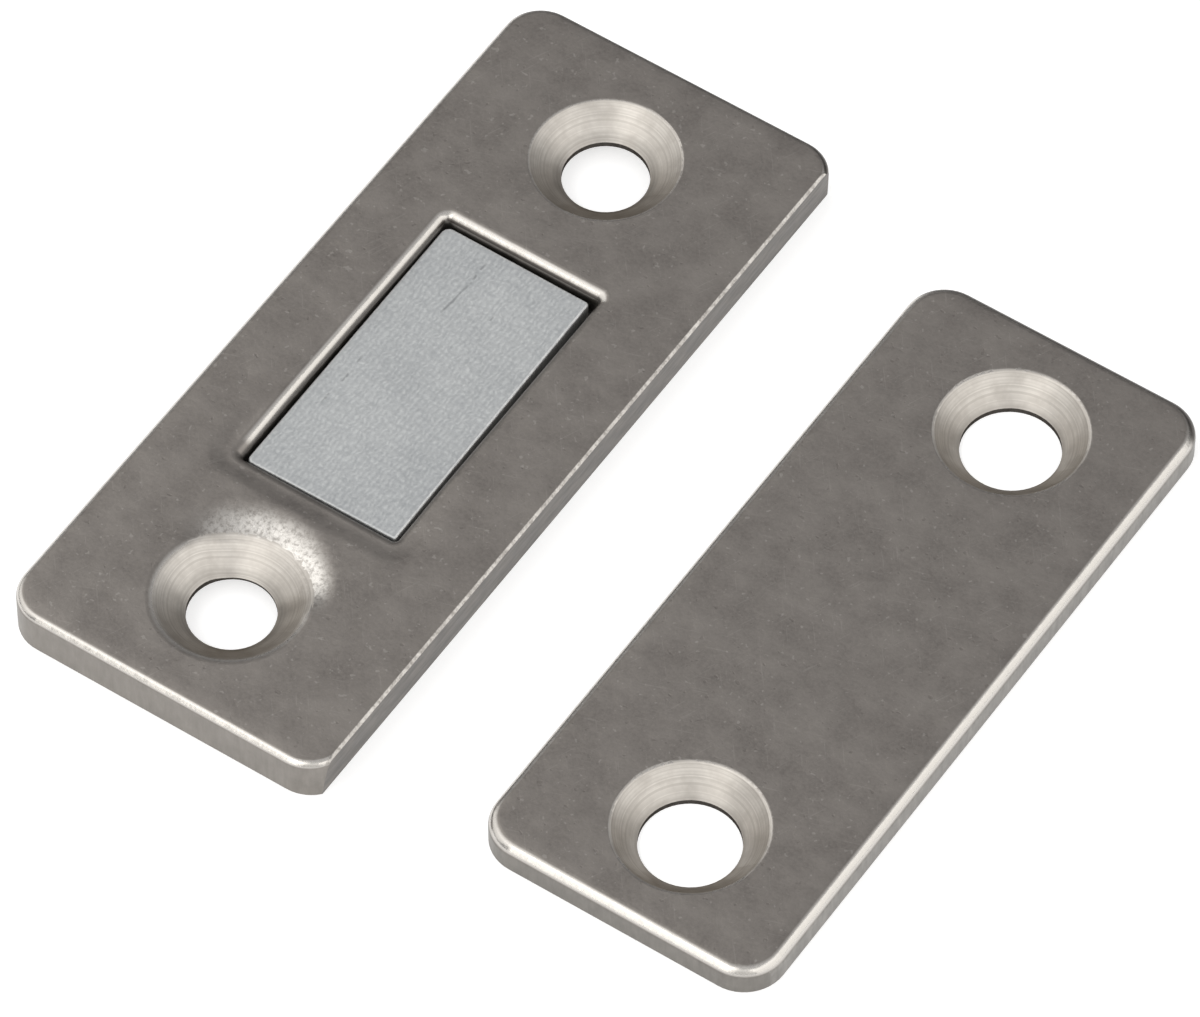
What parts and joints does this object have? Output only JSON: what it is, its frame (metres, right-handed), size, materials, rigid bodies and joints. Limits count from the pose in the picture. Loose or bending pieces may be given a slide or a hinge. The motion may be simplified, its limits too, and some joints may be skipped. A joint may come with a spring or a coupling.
{
  "type": "magnetic catch",
  "caption": "Flat magnetic cabinet catch: a steel plate with a block magnet in a window, and a plain steel strike plate, both countersunk for screws.",
  "frame": {"origin": "under the middle of the pair as it lies side by side, in the plane that both backs rest on", "axes": "+Z out of the faces of both plates, +Y along both plates, +X from the magnet plate to the strike plate"},
  "size_m": [0.042, 0.045, 0.0025],
  "materials": {
    "tumbled_steel": "satin, tumbled, fine speckle, warm grey",
    "zinc_coated_magnet": "matt zinc with fine lengthwise grinding lines",
    "plain_steel": "plain rolled steel"
  },
  "bodies": {
    "root": {"magnet_housing": "tumbled_steel", "magnet": "zinc_coated_magnet", "backing_plate": "plain_steel", "strike_plate": "tumbled_steel"}
  },
  "joints": []
}
